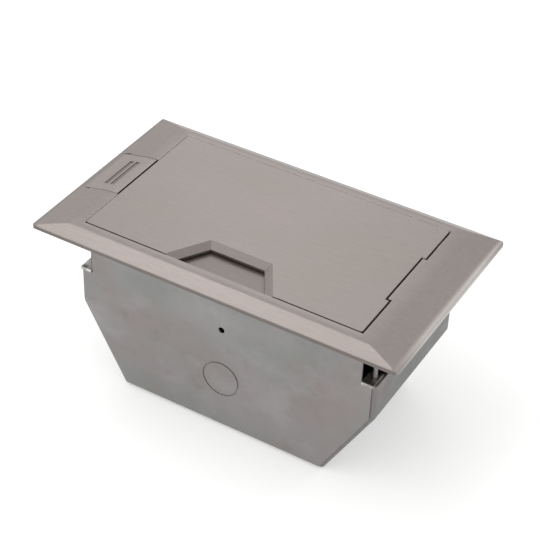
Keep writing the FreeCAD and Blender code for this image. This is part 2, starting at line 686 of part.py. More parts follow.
def makeSocketPlates():
    """A plate on each side with two square cut-outs and a tab folded back at each end."""
    inside = size["collarWidth"] / 2 - gauge - size["cheekGauge"]
    middle = slopeLength() / 2
    for name, sign in (("socket_plate_left", -1), ("socket_plate_right", 1)):
        back = -size["plateGauge"]
        sheetPlate = box(name + "_sheet", (0, slopeLength()), (-inside, inside),
                         (back, back + size["plateGauge"]))
        tabs = [box("%s_tab%d" % (name, s + 1), (0, slopeLength()),
                    span(s, inside - size["plateGauge"], inside), (back - size["plateTab"], back))
                for s in (-1, 1)]
        holes = []
        for s in (-1, 1):
            y = size["modulePitch"] * s
            holes.append(box("%s_cut%d" % (name, s + 1),
                             (middle - size["moduleCut"] / 2, middle + size["moduleCut"] / 2),
                             (y - size["moduleCut"] / 2, y + size["moduleCut"] / 2), (back - over, over)))
        plate = cut(name + "_cut", fuse(name + "_solid", sheetPlate, *tabs), *holes)
        plate.Placement = tilted(sign, 0, 0)
        node(name, plate)


def makeOutlets():
    """Two round-faced power sockets on the left plate and two twin data sockets on the right one."""
    zero = 0
    half, bodyHalf = size["moduleSize"] / 2, size["moduleCut"] / 2 - size["moduleFit"]
    middle = slopeLength().value / 2
    for spot, s in (("front", -1), ("back", 1)):
        y = size["modulePitch"].value * s
        for kind, sign in (("power", -1), ("data", 1)):
            name = "%s_socket_%s" % (kind, spot)
            face = prism(name + "_face", "XY_Plane",
                         [(-half, -half), (half, -half), (half, half), (-half, half)],
                         size["moduleFace"], symmetric=False)
            roundEdges(face, size["moduleCorner"], along("z", x=half, y=half))
            shell = box(name + "_body", (-bodyHalf, bodyHalf), (-bodyHalf, bodyHalf),
                        (-size["moduleBody"], zero))
            tools = []
            if kind == "power":
                tools.append(rod(name + "_recess", size["recessDiameter"] / 2, zero, zero,
                                 size["moduleFace"] - size["recessDepth"], size["recessDepth"] + over))
                for p in (-1, 1):
                    tools.append(rod("%s_pin%d" % (name, p + 1), size["pinHoleDiameter"] / 2, zero,
                                     size["pinHoleSpacing"] * (p / 2),
                                     -size["moduleBody"] + size["moduleWall"],
                                     size["moduleBody"] + over))
            else:
                for p in (-1, 1):
                    mid = size["jackSpacing"] * (p / 2)
                    tools.append(box("%s_jack%d" % (name, p + 1),
                                     bothSides(size["jackHeight"] + size["shellGauge"] * 2),
                                     (mid - size["jackWidth"] / 2 - size["shellGauge"],
                                      mid + size["jackWidth"] / 2 + size["shellGauge"]),
                                     (size["moduleFace"] - size["jackDepth"], size["moduleFace"] + over)))
            module = cut(name + "_cut", fuse(name + "_solid", face, shell), *tools)
            module.Placement = tilted(sign, middle, 0, y)
            node(name, module)


def makeSocketParts():
    """Earth clips, brass terminals and jack shells that sit in the sockets."""
    zero = 0
    middle = slopeLength().value / 2
    clips, jacks, terminals = [], [], []
    for s in (-1, 1):
        y = size["modulePitch"].value * s
        low = size["moduleFace"] - size["recessDepth"]
        for p in (-1, 1):
            edge = size["recessDiameter"] / 2 - size["clipInset"]
            clip = box("earth_clip%d%d" % (s + 1, p + 1), span(p, edge - size["clipGauge"], edge),
                       bothSides(size["clipWidth"]), (low, low + size["clipHeight"]))
            clip = group("earth_clip_at%d%d" % (s + 1, p + 1), clip)
            clip.Placement = tilted(-1, middle, 0, y)
            clips.append(clip)
            mid = size["jackSpacing"] * (p / 2)
            outer = box("jack_shell%d%d" % (s + 1, p + 1),
                        bothSides(size["jackHeight"] + size["shellGauge"] * 2),
                        (mid - size["jackWidth"] / 2 - size["shellGauge"],
                         mid + size["jackWidth"] / 2 + size["shellGauge"]),
                        (size["moduleFace"] - size["jackDepth"], size["moduleFace"]))
            inner = box("jack_mouth%d%d" % (s + 1, p + 1), bothSides(size["jackHeight"]),
                        (mid - size["jackWidth"] / 2, mid + size["jackWidth"] / 2),
                        (size["moduleFace"] - size["jackDepth"] + size["shellGauge"],
                         size["moduleFace"] + over))
            jack = cut("jack%d%d" % (s + 1, p + 1), outer, inner)
            jack.Placement = tilted(1, middle, 0, y)
            jacks.append(jack)
        for p in (-1, 0, 1):
            screw = rod("terminal%d%d" % (s + 1, p + 1), size["terminalDiameter"] / 2,
                        size["moduleCut"] / 4,
                        size["terminalSpacing"] * p, -size["moduleBody"] - size["terminalHeight"],
                        size["terminalHeight"])
            screw = group("terminal_at%d%d" % (s + 1, p + 1), screw)
            screw.Placement = tilted(-1, middle, 0, y)
            terminals.append(screw)
    node("earth_clips", group("earth_clips_set", *clips))
    node("jack_shells", group("jack_shells_set", *jacks))
    node("power_terminals", group("power_terminals_set", *terminals))


# ---- lid ------------------------------------------------------------------------------------------

def outletOutline(inset, front):
    """The cable outlet in the lid's front edge, drawn in by `inset` and carried on to y = front."""
    run = (size["outletBase"] - size["outletTop"]) / 2
    side = root(run * run + size["outletDepth"] * size["outletDepth"])
    slope = run / size["outletDepth"]
    sideInset = inset * side / size["outletDepth"]
    back = -lidHalfWidth + size["outletDepth"] - inset

    def halfAt(y):
        return size["outletBase"] / 2 - sideInset - (y + lidHalfWidth) * slope

    return mirrored([(halfAt(back), back), (halfAt(front), front)])


def taper(name, lowOutline, lowLevel, highOutline, highLevel):
    body = doc.addObject("PartDesign::Body", name)
    loft = body.newObject("PartDesign::AdditiveLoft", name + "_loft")
    low = polygonSketch(body, "XY_Plane", lowOutline, lowLevel)
    high = polygonSketch(body, "XY_Plane", highOutline, highLevel)
    loft.Profile = low
    loft.Sections = [high]
    loft.Ruled = True
    body.Tip = loft
    return body


def makeLid():
    outline = openingOutline(-lidHalfLength, lidHalfLength, -lidHalfWidth, lidHalfWidth,
                             size["hingeTongueDepth"], size["hingeTongueWidth"] / 2)
    plate = prism("lid_plate", "XY_Plane", outline, size["lidGauge"], offset=lidUnder, symmetric=False)
    roundEdges(plate, size["lidCorner"], along("z", x=lidHalfLength, y=lidHalfWidth))
    roundEdges(plate, size["lidEdge"], topEdges)
    slope, drop = size["outletSlope"], size["outletDrop"]
    bandLow = topLevel - drop
    beyond = -lidHalfWidth - size["mouthRunOut"]
    edge = -lidHalfWidth
    per = slope / drop
    mouth = taper("outlet_mouth", outletOutline(slope + per * over, beyond), bandLow - over,
                  outletOutline(-per * over, beyond), topLevel + over)
    wide = size["bandGauge"] * root(per * per + 1)
    skin = taper("outlet_skin", outletOutline(slope - wide, edge), bandLow,
                 outletOutline(slope - wide - per * (drop - size["skinSet"]), edge),
                 topLevel - size["skinSet"])
    node("lid", cut("lid_cut", fuse("lid_solid", plate, skin), mouth))


def topEdges(a, b):
    return min(a.z, b.z) > topLevel.value - 1e-4


def makeLidRibs():
    """Two top-hat stiffeners spot-welded along the underside of the lid."""
    ribs = []
    high = lidUnder
    low = lidUnder - size["ribHeight"]
    xSpan = (-lidHalfLength + size["ribInset"], pivotX - size["ribInset"])
    half = size["ribWidth"] / 2
    inside = half - size["ribGauge"]
    for i, y in enumerate((-size["ribFrontY"], size["ribBackY"])):
        outer = box("rib_outer%d" % i, xSpan, (y - half, y + half), (low, high))
        inner = box("rib_inner%d" % i, (xSpan[0] - over, xSpan[1] + over), (y - inside, y + inside),
                    (low + size["ribGauge"], high + over))
        ribs.append(cut("rib%d" % i, outer, inner))
    node("lid_ribs", group("lid_ribs_set", *ribs))


def makeHinge():
    """An angle under the lid at each end of the pivot line, and the stub pins that they turn on."""
    brackets, pins = [], []
    reach = pivotX + size["earRadius"]
    for sign in (-1, 1):
        wall = openBack if sign > 0 else -openFront
        outer = wall - size["earGap"]
        ear = prism("hinge_ear%d" % (sign + 1), "XZ_Plane",
                    [(pivotX - size["earRadius"], lidUnder),
                     (pivotX - size["earRadius"], pivotZ - size["earRadius"]),
                     (reach, pivotZ - size["earRadius"]), (reach, lidUnder)],
                    size["earGauge"], offset=(outer - size["earGauge"] / 2) * -sign)
        roundEdges(ear, size["earCorner"], along("y", z=pivotZ - size["earRadius"]))
        near = ledgeEnd + size["wingGap"]
        wing = box("hinge_wing%d" % (sign + 1), (near, reach),
                   span(sign, outer - size["bracketWidth"], outer),
                   (lidUnder - size["ribGauge"], lidUnder))
        ledgeEdge = (openBack if sign > 0 else -openFront) - size["sideLedge"]
        foot = box("hinge_foot%d" % (sign + 1), (near - size["bracketFoot"], near + over),
                   span(sign, ledgeEdge - size["bracketWidth"], ledgeEdge - size["wingGap"]),
                   (lidUnder - size["ribGauge"], lidUnder))
        bore = rod("hinge_ear_bore%d" % (sign + 1), size["pinDiameter"] / 2, pivotX, size["trayWidth"] * -1,
                   pivotZ,
                   size["trayWidth"] * 2, "Y")
        brackets.append(cut("hinge_bracket%d" % (sign + 1),
                            fuse("hinge_bracket_solid%d" % (sign + 1), ear, wing, foot), bore))
        start = outer - size["earGauge"] - size["pinProud"]
        length = wall + size["pinSeat"] - start
        pins.append(rod("hinge_pin%d" % (sign + 1), size["pinDiameter"] / 2, pivotX,
                        start if sign > 0 else -(start + length), pivotZ, length, "Y"))
    node("hinge_brackets", group("hinge_brackets_set", *brackets))
    node("hinge_pins", group("hinge_pins_set", *pins))


def makeCatch():
    """A strip folded down under the lid's free edge, with a window that the latch bolt enters."""
    half = size["catchWidth"] / 2
    left = -lidHalfLength + size["catchSetback"]
    right = left + size["catchGauge"]
    low = slotLevel - size["catchSill"]
    leg = box("catch_leg", (left, right), (-half, half), (low, lidUnder))
    foot = box("catch_foot", (left, right + size["catchFoot"]), (-half, half),
               (lidUnder - size["ribGauge"], lidUnder))
    window = box("catch_window", (left - over, right + over), bothSides(size["boltWidth"] + over),
                 (slotLevel - size["latchPlay"] * 2, slotLevel + size["boltGauge"] + size["latchPlay"] * 3))
    node("lid_catch", cut("lid_catch_cut", fuse("lid_catch_solid", leg, foot), window))


# ---- cable flap -----------------------------------------------------------------------------------

def makeFlap():
    """A plate that closes the outlet from below, with knuckles on a pin behind its back edge."""
    high = topLevel - size["flapDrop"]
    low = high - size["flapGauge"]
    front = openFront + size["frontGap"]
    outline = outletOutline(size["outletSlope"] - size["flapLap"], front)
    plate = prism("flap_sheet", "XY_Plane", outline, size["flapGauge"], offset=low, symmetric=False)
    flapPivotY = -size["flapPivotY"]
    rear = outline[0][1]
    arms, barrels = [], []
    for sign in (-1, 1):
        xSpan = span(sign, size["knuckleGap"], size["knuckleGap"] + size["knuckleLength"])
        arms.append(box("flap_arm%d" % (sign + 1), xSpan, (rear - over, flapPivotY), (low, high)))
        barrels.append(rod("flap_barrel%d" % (sign + 1), size["knuckleRadius"], xSpan[0], flapPivotY,
                           flapPivotZ,
                           size["knuckleLength"], "X"))
    bore = rod("flap_bore", size["flapPinDiameter"] / 2 + size["pinFit"], -size["outletBase"] / 2,
               flapPivotY, flapPivotZ,
               size["outletBase"], "X")
    node("cable_flap", cut("cable_flap_cut", fuse("cable_flap_solid", plate, *arms, *barrels), bore))
    ears = []
    for sign in (-1, 1):
        xSpan = span(sign, size["flapEarHalf"], size["flapEarHalf"] + size["flapEarGauge"])
        ears.append(box("flap_ear%d" % (sign + 1), xSpan,
                        (flapPivotY - size["flapEarFront"], flapPivotY + size["flapEarBack"]),
                        (flapPivotZ - size["knuckleRadius"], lidUnder)))
    bridge = box("flap_bridge", bothSides((size["flapEarHalf"] + size["flapEarGauge"]) * 2),
                 (flapPivotY + size["flapBridgeFront"], flapPivotY + size["flapBridgeBack"]),
                 (lidUnder - size["ribGauge"], lidUnder))
    earBore = rod("flap_ear_bore", size["flapPinDiameter"] / 2, -size["outletBase"] / 2, flapPivotY,
                  flapPivotZ,
                  size["outletBase"], "X")
    node("flap_bracket", cut("flap_bracket_cut", fuse("flap_bracket_solid", bridge, *ears), earBore))
    pinHalf = size["flapEarHalf"] + size["flapEarGauge"] + over
    node("flap_pin", rod("flap_pin_rod", size["flapPinDiameter"] / 2, -pinHalf, flapPivotY, flapPivotZ,
                         pinHalf * 2, "X"))


# ---- latch ----------------------------------------------------------------------------------------

def coilSpring(name, x, y, z):
    """A wire spring lying along X from its right end, its wire drawn as short straight lengths."""
    thick = size["springWire"].value
    mean = size["springRadius"].value - thick / 2
    run = size["springLength"].value - thick
    sides = int(size["springSides"].value)
    steps = int(size["springTurns"].value) * sides
    points = []
    for i in range(steps + 1):
        turn = 2 * math.pi * i / sides
        points.append(FreeCAD.Vector(-run * i / steps, mean * math.cos(turn), mean * math.sin(turn)))
    ahead = (points[1] - points[0]).normalize()
    outward = FreeCAD.Vector(0, 1, 0)
    upward = ahead.cross(outward).normalize()
    outward = upward.cross(ahead)
    corners = []
    for i in range(7):
        turn = math.pi / 3 * i
        corners.append(points[0] + (outward * math.cos(turn) + upward * math.sin(turn)) * (thick / 2))
    coil = doc.addObject("Part::Feature", name)
    coil.Shape = Part.Wire(Part.makePolygon(points)).makePipeShell([Part.makePolygon(corners)], True, False,
                                                                   1)
    coil.Placement = FreeCAD.Placement(FreeCAD.Vector(x.value, y.value, z.value), FreeCAD.Rotation())
    return coil


def makeLatch():
    """A slide let into the frame's bevel, with two finger grooves, a bolt and two return springs."""
    under = slotLevel + size["latchPlay"]
    right = openLeft - (size["latchGap"] - size["tightGap"])
    left = right - size["latchReach"]
    blank = bevelledBlank("latch_blank", floorLevel, topLevel)
    block = box("latch_block", (left, right), bothSides(size["latchWidth"]), (under, topLevel + over))
    tools = []
    for i in range(2):
        x = right - size["gripInset"] - size["gripPitch"] * i
        bevelRun = size["frameLength"] / 2 - flatHalfLength
        surface = topLevel - (-x - flatHalfLength) * (topLevel - rimLevel) / bevelRun
        tools.append(box("latch_grip%d" % i, (x - size["gripWidth"] / 2, x + size["gripWidth"] / 2),
                         bothSides(size["gripLength"]), (surface - size["gripDepth"], topLevel + over)))
    springLevel = slotLevel + size["springRadius"] / 2
    for sign in (-1, 1):
        half = size["springRadius"] + size["springPlay"]
        y = size["springY"] * sign
        far = right - size["springInset"]
        tools.append(box("latch_pocket%d" % (sign + 1),
                         (far - size["springLength"] - size["springPostRadius"] * 2 - size["springPlay"],
                          far),
                         (y - half, y + half), (under - over, springLevel + half)))
    seat = box("latch_bolt_seat", (right - size["boltRoot"], right + over), bothSides(size["boltWidth"]),
               (under - over, under + size["boltGauge"]))
    tools.append(seat)
    tongueHalf = size["latchWidth"] / 2 + size["tongueReach"]
    tongues = box("latch_tongues", (left + size["tongueInset"] * 2, right - size["tongueInset"]),
                  (-tongueHalf, tongueHalf),
                  (under, under + size["tongueHeight"]))
    node("latch_slide", cut("latch_slide_cut", fuse("latch_form", common("latch_top", blank, block),
                                                    tongues), *tools))
    node("latch_bolt", box("latch_bolt_bar", (right - size["boltRoot"], right + size["boltReach"]),
                           bothSides(size["boltWidth"]), (under, under + size["boltGauge"])))
    posts, springs = [], []
    for sign in (-1, 1):
        y = size["springY"] * sign
        far = right - size["springInset"]
        x = far - size["springLength"] - size["springPostRadius"]
        base = slotLevel - size["springRadius"] / 2
        posts.append(rod("spring_post%d" % (sign + 1), size["springPostRadius"], x, y, base,
                         size["springRadius"] * 2))
        coil = coilSpring("spring_coil%d" % (sign + 1), far - size["springWire"] / 2, y, springLevel)
        springs.append(coil)
    node("spring_posts", group("spring_posts_set", *posts))
    node("latch_springs", group("latch_springs_set", *springs))


makeLugs()
makeStuds()
makeEarthStud()
makeFrame()
makeSeal()
makeCollar()
makeCheeks()
makeSocketPlates()
makeOutlets()
makeSocketParts()
makeLid()
makeLidRibs()
makeHinge()
makeCatch()
makeFlap()
makeLatch()

doc.recompute()
for thing in doc.Objects:
    if "Invalid" in thing.State or "Error" in thing.State:
        raise RuntimeError("%s did not build: %s" % (thing.Name, thing.State))
os.makedirs("parts", exist_ok=True)
for thing in nodes:
    if thing.Shape.isNull() or not thing.Shape.isValid():
        raise RuntimeError("%s has no valid shape" % thing.Label)
for thing in nodes:
    thing.Shape.exportStep("parts/%s.step" % thing.Label)
    print(thing.Label, len(thing.Shape.Solids), round(thing.Shape.Volume, 1))
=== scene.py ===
import json
import math

import bmesh
import bpy
from mathutils import Matrix, Vector


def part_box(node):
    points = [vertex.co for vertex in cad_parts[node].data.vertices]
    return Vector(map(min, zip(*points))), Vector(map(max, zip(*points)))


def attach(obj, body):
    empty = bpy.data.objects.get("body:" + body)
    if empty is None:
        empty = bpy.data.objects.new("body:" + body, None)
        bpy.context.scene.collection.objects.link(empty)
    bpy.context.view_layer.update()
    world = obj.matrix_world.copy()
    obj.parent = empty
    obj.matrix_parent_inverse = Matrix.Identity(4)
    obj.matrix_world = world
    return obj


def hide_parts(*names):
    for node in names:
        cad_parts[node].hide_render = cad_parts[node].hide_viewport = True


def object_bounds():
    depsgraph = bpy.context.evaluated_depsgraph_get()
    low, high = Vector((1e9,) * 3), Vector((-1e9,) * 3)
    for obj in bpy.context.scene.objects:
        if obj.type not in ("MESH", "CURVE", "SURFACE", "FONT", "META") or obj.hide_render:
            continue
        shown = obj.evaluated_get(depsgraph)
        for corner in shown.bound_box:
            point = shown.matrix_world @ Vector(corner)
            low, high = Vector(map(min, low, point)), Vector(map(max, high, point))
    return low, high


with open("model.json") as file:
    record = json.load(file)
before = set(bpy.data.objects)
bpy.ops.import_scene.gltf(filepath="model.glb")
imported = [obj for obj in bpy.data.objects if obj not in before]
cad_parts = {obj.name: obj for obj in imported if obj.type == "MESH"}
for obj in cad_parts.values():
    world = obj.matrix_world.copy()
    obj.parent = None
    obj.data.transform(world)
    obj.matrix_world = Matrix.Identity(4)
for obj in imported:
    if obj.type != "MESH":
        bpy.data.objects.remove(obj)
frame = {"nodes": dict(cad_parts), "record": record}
cadBounds = [list(corner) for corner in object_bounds()]
cadNodes = frame["nodes"]
bodyOf = {name: body for body, names in frame["record"]["behaviour"]["bodies"].items() for name in names}
slotOf = {row["node"]: row["material_slot"] for row in frame["record"]["subparts"]}
mm = 0.001
print("frame loaded:", len(cadNodes), "nodes")


# shader node helpers

def addNode(tree, kind, inputs=None, **settings):
    shaderNode = tree.nodes.new(kind)
    for key, value in settings.items():
        setattr(shaderNode, key, value)
    for key, value in (inputs or {}).items():
        if isinstance(value, bpy.types.NodeSocket):
            tree.links.new(value, shaderNode.inputs[key])
        else:
            shaderNode.inputs[key].default_value = value
    return shaderNode


def noise(tree, stretch, detail=3.0, roughness=0.5, turn=(0, 0, 0)):
    # stretch is how many bumps there are per metre on each axis
    place = addNode(tree, "ShaderNodeTexCoord")
    mapping = addNode(tree, "ShaderNodeMapping",
                      {"Vector": place.outputs["Object"], "Rotation": turn, "Scale": stretch})
    pattern = addNode(tree, "ShaderNodeTexNoise",
                      {"Vector": mapping.outputs["Vector"], "Scale": 1.0, "Detail": detail,
                       "Roughness": roughness})
    return pattern.outputs["Fac"]


def remap(tree, value, low, high, toLow=0.0, toHigh=1.0):
    spread = addNode(tree, "ShaderNodeMapRange",
                     {"Value": value, "From Min": low, "From Max": high, "To Min": toLow, "To Max": toHigh})
    return spread.outputs["Result"]


def blendColours(tree, factor, first, second):
    mixer = addNode(tree, "ShaderNodeMix", {0: factor, 6: first, 7: second}, data_type="RGBA")
    return mixer.outputs[2]


def addUp(tree, first, second, share=0.5):
    mixer = addNode(tree, "ShaderNodeMix", {0: share, 2: first, 3: second}, data_type="FLOAT")
    return mixer.outputs[0]


def newMaterial(name, metallic=0.0, **sockets):
    material = bpy.data.materials.new(name)
    material.use_nodes = True
    shader = material.node_tree.nodes["Principled BSDF"]
    shader.inputs["Metallic"].default_value = metallic
    for key, value in sockets.items():
        shader.inputs[key.replace("_", " ")].default_value = value
    return material, material.node_tree, shader


def setLook(tree, shader, colour=None, rough=None, height=None, strength=0.3, depth=0.02 * mm):
    if colour is not None:
        tree.links.new(colour, shader.inputs["Base Color"])
    if rough is not None:
        tree.links.new(rough, shader.inputs["Roughness"])
    if height is not None:
        bump = addNode(tree, "ShaderNodeBump", {"Height": height, "Strength": strength, "Distance": depth})
        tree.links.new(bump.outputs["Normal"], shader.inputs["Normal"])


def rgb(red, green, blue):
    return (red, green, blue, 1.0)


def toned(colour, tone):
    return rgb(*[part * tone for part in colour[:3]])


# metals

brushed = {
    "light": rgb(0.355, 0.314, 0.296), "dark": rgb(0.220, 0.193, 0.181),
    "warm": rgb(0.300, 0.267, 0.243), "cool": rgb(0.278, 0.246, 0.241), "mark": rgb(0.43, 0.39, 0.37),
    "grain": (75, 1250, 1250), "fine": (160, 3600, 3600), "scratch": (38, 900, 900),
    "smooth": 0.32, "matt": 0.47,
}


def makeBrushed(name, tone=1.0):
    # hairlines run along the long side, over slow changes of tint
    material, tree, shader = newMaterial(name, metallic=0.9)
    grain = noise(tree, brushed["grain"], 4.0, 0.65)
    fine = noise(tree, brushed["fine"], 2.0, 0.5)
    scratch = remap(tree, noise(tree, brushed["scratch"], 5.0, 0.8), 0.60, 0.72)
    cloud = noise(tree, (14, 22, 22), 3.0, 0.55)
    hair = addUp(tree, grain, fine, 0.4)
    shades = {key: toned(brushed[key], tone) for key in ("light", "dark", "warm", "cool", "mark")}
    tint = blendColours(tree, remap(tree, cloud, 0.35, 0.65), shades["cool"], shades["warm"])
    steel = blendColours(tree, remap(tree, hair, 0.32, 0.68), shades["dark"], shades["light"])
    even = blendColours(tree, 0.45, steel, tint)
    marked = blendColours(tree, remap(tree, scratch, 0.0, 1.0, 0.0, 0.35), even, shades["mark"])
    rough = addUp(tree, remap(tree, hair, 0.3, 0.7, brushed["smooth"], brushed["matt"]),
                  remap(tree, cloud, 0.3, 0.7, brushed["smooth"], brushed["matt"]), 0.35)
    setLook(tree, shader, marked, rough, hair, 0.22, 0.03 * mm)
    return material


# the frame's ends: a rolled-over bump, and a painted highlight on the right-hand end
rim = {"wide": 4.5 * mm, "round": 6.0 * mm, "paintedHighlightColour": rgb(0.60, 0.57, 0.54), "full": 35 * mm, "end": 66 * mm,
       "most": 0.75, "least": 0.10}


def rollRimWithPaintedHighlight(material):
    # the short ends of the frame roll over, by a shading-only bump; the right-hand one also gets a painted
    # highlight, its base colour lightened towards the outer edge
    tree, outer = material.node_tree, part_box("frame")[1].x
    place = addNode(tree, "ShaderNodeTexCoord")
    along = addNode(tree, "ShaderNodeSeparateXYZ", {0: place.outputs["Object"]}).outputs["X"]
    size = addNode(tree, "ShaderNodeMath", {0: along}, operation="ABSOLUTE")
    past = remap(tree, size.outputs[0], outer - rim["wide"], outer, 0.0, 1.0)
    square = addNode(tree, "ShaderNodeMath", {0: past, 1: past}, operation="MULTIPLY")
    drop = addNode(tree, "ShaderNodeMath", {0: square.outputs[0], 1: -rim["wide"] ** 2 / (2 * rim["round"])},
                   operation="MULTIPLY")
    hairBump = next(item for item in tree.nodes if item.type == "BUMP")
    roll = addNode(tree, "ShaderNodeBump",
                   {"Height": drop.outputs[0], "Strength": 1.0, "Distance": 1.0,
                    "Normal": hairBump.outputs["Normal"]})
    shader = tree.nodes["Principled BSDF"]
    tree.links.new(roll.outputs["Normal"], shader.inputs["Normal"])
    across = addNode(tree, "ShaderNodeSeparateXYZ", {0: place.outputs["Object"]}).outputs["Y"]
    reach = addNode(tree, "ShaderNodeMath", {0: across}, operation="ABSOLUTE")
    middle = remap(tree, reach.outputs[0], rim["full"], rim["end"], rim["most"], rim["least"])
    # painted highlight: near the right-hand edge the base colour blends towards a pale colour, most in the
    # middle of that end
    paintedHighlightMask = addNode(tree, "ShaderNodeMath", {0: remap(tree, along, outer - rim["wide"], outer), 1: middle},
                   operation="MULTIPLY")
    plain = shader.inputs["Base Color"].links[0].from_socket
    tree.links.new(blendColours(tree, paintedHighlightMask.outputs[0], plain, rim["paintedHighlightColour"]), shader.inputs["Base Color"])
    return material


galvanised = {
    "base": rgb(0.304, 0.296, 0.294), "green": rgb(0.250, 0.258, 0.246), "brown": rgb(0.272, 0.243, 0.238),
    "pale": rgb(0.380, 0.370, 0.370), "dull": rgb(0.190, 0.182, 0.176),
}


def makeGalvanised(name, tone=1.0):
    # zinc coat: broad tinted patches, faint spangle, small stains and rolling marks
    material, tree, shader = newMaterial(name, metallic=0.75)
    patch = noise(tree, (24, 24, 24), 3.0, 0.55)
    drift = noise(tree, (15, 17, 20), 3.0, 0.55, (0.4, 0.2, 0.9))
    bloom = noise(tree, (19, 19, 28), 4.0, 0.6, (0.1, 0.7, 0.3))
    spot = noise(tree, (95, 95, 95), 4.0, 0.7)
    roll = noise(tree, (20, 900, 900), 3.0, 0.6)
    grit = noise(tree, (1500, 1500, 1500), 2.0, 0.5)
    place = addNode(tree, "ShaderNodeTexCoord")
    spangle = addNode(tree, "ShaderNodeTexVoronoi",
                      {"Vector": place.outputs["Object"], "Scale": 170.0, "Randomness": 1.0}, feature="F1")
    flake = addNode(tree, "ShaderNodeSeparateColor", {"Color": spangle.outputs["Color"]}).outputs["Red"]
    shades = {key: toned(colour, tone) for key, colour in galvanised.items()}
    tinted = blendColours(tree, remap(tree, patch, 0.40, 0.62), shades["green"], shades["base"])
    warmed = blendColours(tree, remap(tree, drift, 0.45, 0.66), tinted, shades["brown"])
    flaked = blendColours(tree, remap(tree, flake, 0.0, 1.0, 0.0, 0.16), warmed, shades["pale"])
    stained = blendColours(tree, remap(tree, spot, 0.58, 0.80, 0.0, 0.45), flaked, shades["dull"])
    bloomed = blendColours(tree, remap(tree, bloom, 0.52, 0.72, 0.0, 0.55), stained, shades["pale"])
    rolled = blendColours(tree, remap(tree, roll, 0.52, 0.75, 0.0, 0.08), bloomed, shades["pale"])
    rough = addUp(tree, remap(tree, flake, 0.0, 1.0, 0.42, 0.58), remap(tree, spot, 0.3, 0.8, 0.42, 0.68))
    height = addUp(tree, roll, addUp(tree, grit, spot, 0.5), 0.6)
    setLook(tree, shader, rolled, rough, height, 0.25, 0.05 * mm)
    return material


def makeZinc(name, light, dark, smooth, matt):
    material, tree, shader = newMaterial(name, metallic=1.0)
    cloud = noise(tree, (160, 160, 160), 3.0, 0.6)
    speck = noise(tree, (1400, 1400, 1400), 2.0, 0.6)
    clear = blendColours(tree, remap(tree, cloud, 0.35, 0.65), dark, light)
    colour = blendColours(tree, remap(tree, speck, 0.62, 0.8, 0.0, 0.4), clear, rgb(0.2, 0.19, 0.17))
    rough = remap(tree, addUp(tree, cloud, speck), 0.3, 0.7, smooth, matt)
    setLook(tree, shader, colour, rough, speck, 0.2, 0.02 * mm)
    return material


def makePlastic(name, light, dark, smooth, matt, grainSize=2200, strength=0.12):
    material, tree, shader = newMaterial(name, Specular_IOR_Level=0.45)
    cloud = noise(tree, (30, 30, 30), 3.0, 0.6)
    pore = noise(tree, (grainSize, grainSize, grainSize), 2.0, 0.5)
    colour = blendColours(tree, remap(tree, cloud, 0.35, 0.65), dark, light)
    rough = remap(tree, addUp(tree, cloud, pore), 0.3, 0.7, smooth, matt)
    setLook(tree, shader, colour, rough, pore, strength, 0.03 * mm)
    return material


def makeFoam(name):
    material, tree, shader = newMaterial(name, Specular_IOR_Level=0.25)
    cell = noise(tree, (2600, 2600, 2600), 4.0, 0.75)
    dust = noise(tree, (120, 120, 120), 4.0, 0.7)
    dark = blendColours(tree, remap(tree, cell, 0.3, 0.7), rgb(0.012, 0.012, 0.012), rgb(0.045, 0.044, 0.042))
    colour = blendColours(tree, remap(tree, dust, 0.5, 0.8, 0.0, 0.4), dark, rgb(0.10, 0.095, 0.088))
    setLook(tree, shader, colour, remap(tree, cell, 0.3, 0.7, 0.75, 0.95), cell, 0.6, 0.12 * mm)
    return material


looks = {
    "brushed_stainless": makeBrushed("brushedStainless"),
    "satin_stainless": makeBrushed("satinStainless", 0.76),
    "galvanised_sheet": makeGalvanised("galvanisedSheet"),
    "bright_zinc": makeZinc("brightZinc", rgb(0.62, 0.60, 0.58), rgb(0.16, 0.15, 0.145), 0.22, 0.45),
    "zinc_steel": makeZinc("zincSteel", rgb(0.40, 0.39, 0.375), rgb(0.25, 0.24, 0.23), 0.30, 0.50),
    "spring_steel": makeZinc("springSteel", rgb(0.42, 0.41, 0.40), rgb(0.30, 0.29, 0.28), 0.25, 0.4),
    "brass": makeZinc("brassPlain", rgb(0.80, 0.60, 0.27), rgb(0.66, 0.47, 0.20), 0.22, 0.42),
    "white_plastic": makePlastic("whitePlastic", rgb(0.80, 0.80, 0.78), rgb(0.74, 0.74, 0.715), 0.28, 0.42),
    "black_plastic": makePlastic("blackPlastic", rgb(0.03, 0.03, 0.03), rgb(0.018, 0.018, 0.019), 0.4, 0.6,
                                 900, 0.3),
    "black_rubber": makeFoam("foamRubber"),
}
contactGold = makeZinc("contactGold", rgb(0.95, 0.72, 0.32), rgb(0.86, 0.62, 0.25), 0.15, 0.3)
# the frame's steel carries the painted highlight on its right-hand end
frameSteel = rollRimWithPaintedHighlight(makeBrushed("frameStainlessPaintedHighlight"))
# a darker grey for the floors of the latch's grip grooves
grooveGrey = makeBrushed("grooveGrey", 0.66)
# painted shade: a darker brushed steel for the sloping outlet band
bandShadePaint = makeBrushed("bandStainlessPaintedShade", 0.82)
# painted shade: a still darker brushed steel for the band's back stretch, the frame's front rim and the
# outlet lip
paintedShadeSteel = makeBrushed("paintedShadeStainless", 0.62)
shellZinc = makeGalvanised("galvanisedShell", 0.80)
latchSteel = makeBrushed("latchStainless", 1.12)
# painted shade: near-black side faces of the lid in the front and right-hand gaps
lidGapShadePaint = makePlastic("lidGapSidePaintedShade", rgb(0.035, 0.026, 0.025), rgb(0.020, 0.014, 0.014), 0.6, 0.8)
# painted light: pale inner faces of the frame in the left-hand and back gaps
frameGapLightPaint = makePlastic("frameGapSidePaintedLight", rgb(0.86, 0.81, 0.78), rgb(0.78, 0.73, 0.70), 0.5, 0.7)
print("materials made:", len(bpy.data.materials))


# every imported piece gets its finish, and those listed here get softened edges too

